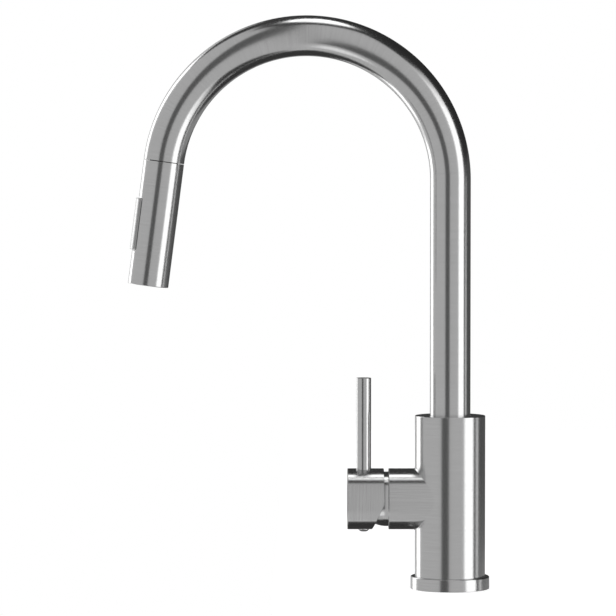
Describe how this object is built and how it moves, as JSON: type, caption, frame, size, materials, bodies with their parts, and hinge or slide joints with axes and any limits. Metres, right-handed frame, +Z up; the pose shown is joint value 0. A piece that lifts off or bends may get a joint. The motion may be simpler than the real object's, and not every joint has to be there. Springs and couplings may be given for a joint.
{
  "type": "pull-out kitchen faucet",
  "caption": "Side-lever kitchen faucet with a swivelling arch spout, a pull-out spray head with a rocking spray button, and a barrel cartridge that mixes hot and cold water.",
  "frame": {"origin": "on the body's upright axis, at the deck that the base ring stands on", "axes": "+Z is up along the body, the spout, the spray head and the handle barrel reach towards -X at rest, and hot water enters on the +Y side"},
  "size_m": [0.2674, 0.0584, 0.4237],
  "materials": {
    "brushed_stainless": "fine satin brushed",
    "brass": "machined",
    "plain_steel": "plain bright",
    "magnet": "sintered ferrite",
    "valve_ceramic": "lapped",
    "white_polymer": "moulded acetal",
    "dark_polymer": "moulded, fine texture",
    "grey_polymer": "moulded",
    "nozzle_silicone": "soft matte",
    "seal_rubber": "matte",
    "braided_hose": "woven nylon braid"
  },
  "bodies": {
    "body": {"base_ring": "brushed_stainless", "base_seal": "seal_rubber", "body_shell": "brushed_stainless", "valve_block": "brass", "port_seals": "seal_rubber", "cartridge_housing": "white_polymer", "fixed_disc": "valve_ceramic", "cartridge_nut": "brass", "dome_cap": "brushed_stainless", "spout_socket": "brass", "lower_bush": "white_polymer", "spout_seals": "seal_rubber", "upper_bush": "white_polymer", "thrust_ring": "white_polymer", "hose_lower": "braided_hose", "hose_coupling": "plain_steel"},
    "spout": {"spout_tube": "brushed_stainless", "spout_clip": "plain_steel", "dock_bush": "dark_polymer", "dock_magnet": "magnet", "hose_in_spout": "braided_hose"},
    "hose_end": {"hose_lead": "braided_hose", "hose_ferrule": "plain_steel", "hose_connector": "brass", "connector_seal": "seal_rubber"},
    "spray_head": {"inlet_socket": "dark_polymer", "swivel_clip": "plain_steel", "strike_ring": "plain_steel", "inlet_filter": "plain_steel", "check_valve": "white_polymer", "inlet_seal": "seal_rubber", "head_shell": "brushed_stainless", "button_pin": "plain_steel", "diverter_body": "dark_polymer", "face_plate": "dark_polymer", "nozzle_mat": "nozzle_silicone", "aerator_housing": "grey_polymer", "aerator_screen": "plain_steel"},
    "spray_button": {"toggle_button": "brushed_stainless"},
    "spool": {"diverter_spool": "white_polymer", "spool_seals": "seal_rubber"},
    "carrier": {"stem_carrier": "white_polymer", "stem_pin": "plain_steel"},
    "handle": {"valve_stem": "brass", "handle_hub": "brushed_stainless", "lever_rod": "brushed_stainless", "grub_screw": "plain_steel", "screw_cap": "brushed_stainless"},
    "disc": {"moving_disc": "valve_ceramic", "disc_driver": "white_polymer"}
  },
  "joints": [
    {"name": "spout_swivel", "type": "hinge", "parent": "body", "child": "spout", "pos_m": [0, 0, 0], "axis": [0, 0, 1], "continuous": true},
    {"name": "head_pullout", "type": "slide", "parent": "spout", "child": "hose_end", "axis": [-0.1288, 0, -0.9917], "range_m": [0, 0.45], "stiffness_N_per_m": 5, "springref_m": -1},
    {"name": "head_spin", "type": "hinge", "parent": "hose_end", "child": "spray_head", "pos_m": [-0.21152, 0, 0.31618], "axis": [-0.1288, 0, -0.9917], "continuous": true},
    {"name": "button_rock", "type": "hinge", "parent": "spray_head", "child": "spray_button", "pos_m": [-0.22606, 0, 0.26941], "axis": [0, 1, 0], "range_deg": [-5, 5]},
    {"name": "spool_slide", "type": "slide", "parent": "spray_head", "child": "spool", "axis": [-0.1288, 0, -0.9917], "range_m": [-0.0007, 0.0007]},
    {"name": "handle_turn", "type": "hinge", "parent": "body", "child": "carrier", "pos_m": [-0.0476, 0, 0.0664], "axis": [1, 0, 0], "range_deg": [-45, 45]},
    {"name": "handle_tilt", "type": "hinge", "parent": "carrier", "child": "handle", "pos_m": [-0.0476, 0, 0.0664], "axis": [0, -1, 0], "range_deg": [0, 24]},
    {"name": "disc_slide", "type": "slide", "parent": "carrier", "child": "disc", "axis": [0, 0, 1], "range_m": [0, 0.0038]}
  ],
  "couplings": [
    {"joint": "spool_slide", "follows": "button_rock", "m_per_rad": 0.0074},
    {"joint": "disc_slide", "follows": "handle_tilt", "m_per_rad": 0.009}
  ]
}
